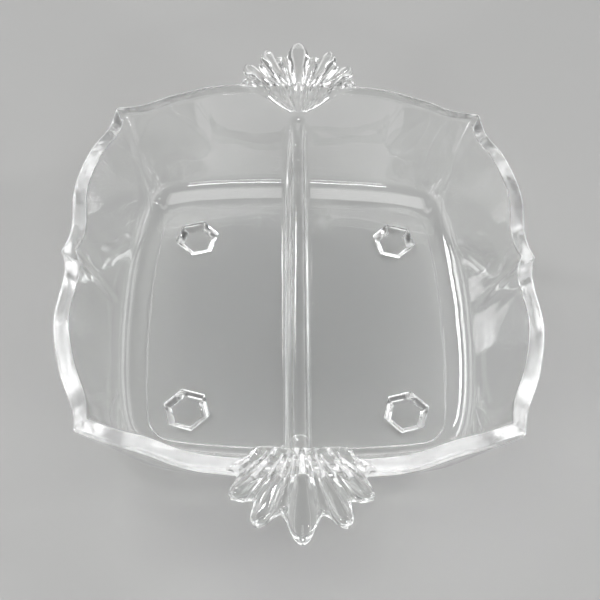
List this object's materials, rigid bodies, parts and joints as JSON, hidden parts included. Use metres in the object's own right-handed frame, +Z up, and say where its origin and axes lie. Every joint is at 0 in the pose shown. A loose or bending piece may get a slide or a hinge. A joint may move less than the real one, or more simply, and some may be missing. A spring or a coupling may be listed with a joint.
{
  "type": "candy dish",
  "caption": "Divided pressed-glass candy dish: a square flared bowl with a scalloped rim, a central divider, fan-shaped end handles and hexagonal feet.",
  "frame": {"origin": "on the table, under the middle of the dish", "axes": "+X to the right-hand compartment, +Y to the back handle along the divider, +Z up"},
  "size_m": [0.1476, 0.1918, 0.0459],
  "materials": {
    "clear_glass": "fire-polished clear"
  },
  "bodies": {
    "root": {"bowl": "clear_glass", "divider": "clear_glass", "back_fan_handle": "clear_glass", "front_fan_handle": "clear_glass", "front_left_foot": "clear_glass", "front_right_foot": "clear_glass", "back_left_foot": "clear_glass", "back_right_foot": "clear_glass"}
  },
  "joints": []
}
